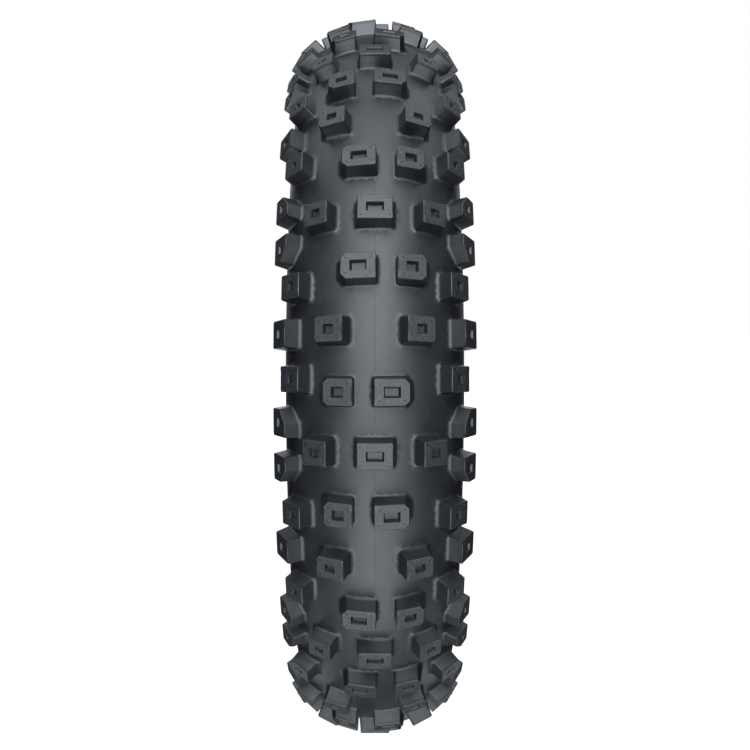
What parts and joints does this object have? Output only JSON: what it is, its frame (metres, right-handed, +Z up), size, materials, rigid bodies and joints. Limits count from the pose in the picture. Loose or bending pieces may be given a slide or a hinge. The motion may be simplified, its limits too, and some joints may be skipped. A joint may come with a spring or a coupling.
{
  "type": "motorcycle tire",
  "caption": "Bare off-road motorcycle rear tire with tall square tread knobs on a rounded carcass; its beads seat on the flanges of a wheel rim.",
  "frame": {"origin": "wheel centre: on the wheel's axis, midway between the beads", "axes": "+Y along the wheel's axis towards the right side, +Z up, +X towards the front of the tread that faces the viewer"},
  "size_m": [0.684, 0.148, 0.684],
  "materials": {
    "tread_rubber": "matt charcoal rubber with a fine grain",
    "sidewall_rubber": "smooth satin black rubber",
    "rim_rubber": "smooth satin black rubber",
    "casing_rubber": "matt black rubber",
    "filler_rubber": "matt hard black rubber",
    "ply_fabric": "rubber-coated nylon cord fabric",
    "bead_fabric": "rubber-coated square-woven nylon",
    "bead_steel": "bronze-coated steel wire"
  },
  "bodies": {
    "root": {"tread_cap": "tread_rubber", "sidewall_left": "sidewall_rubber", "sidewall_right": "sidewall_rubber", "rim_cushion_left": "rim_rubber", "rim_cushion_right": "rim_rubber", "undertread": "casing_rubber", "breaker_outer": "ply_fabric", "breaker_inner": "ply_fabric", "body_ply_outer": "ply_fabric", "body_ply_inner": "ply_fabric", "inner_liner": "casing_rubber", "bead_core_left": "bead_steel", "bead_core_right": "bead_steel", "bead_filler_left": "filler_rubber", "bead_filler_right": "filler_rubber", "bead_flipper_left": "bead_fabric", "bead_flipper_right": "bead_fabric", "chafer_left": "bead_fabric", "chafer_right": "bead_fabric"}
  },
  "joints": []
}
